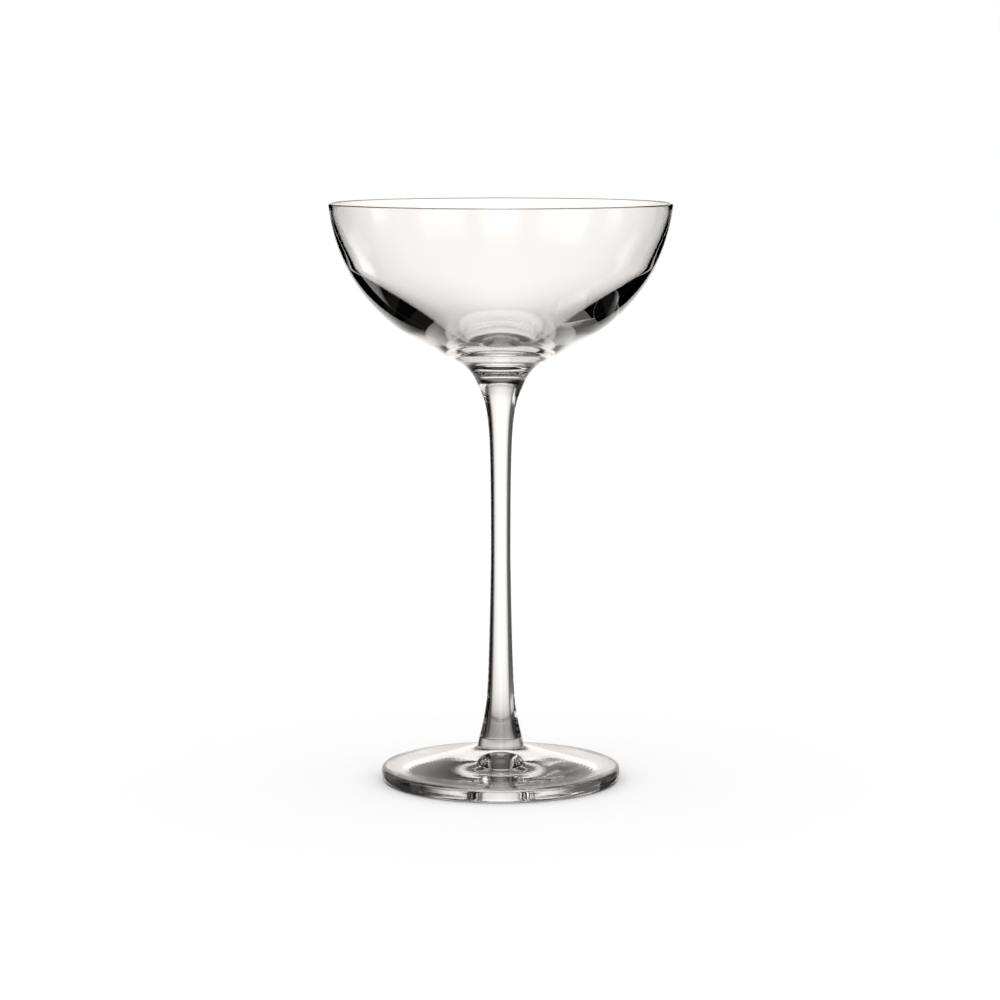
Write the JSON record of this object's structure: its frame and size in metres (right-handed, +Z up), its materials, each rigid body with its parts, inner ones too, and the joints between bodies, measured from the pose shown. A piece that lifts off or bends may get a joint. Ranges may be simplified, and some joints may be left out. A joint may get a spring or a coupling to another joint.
{
  "type": "coupe glass",
  "caption": "Clear stemmed coupe glass: wide shallow bowl with a thin fire-polished rim, a slim waisted solid stem and a round foot.",
  "frame": {"origin": "on the table, under the middle of the foot: the bottom centre of the whole glass", "axes": "+Z up along the stem, the glass's axis of revolution; X and Y are alike"},
  "size_m": [0.0954, 0.0954, 0.1618],
  "materials": {
    "clear_glass": "clear soda-lime crystal glass, fire-polished"
  },
  "bodies": {
    "root": {"bowl": "clear_glass", "stem": "clear_glass", "foot": "clear_glass"}
  },
  "joints": []
}
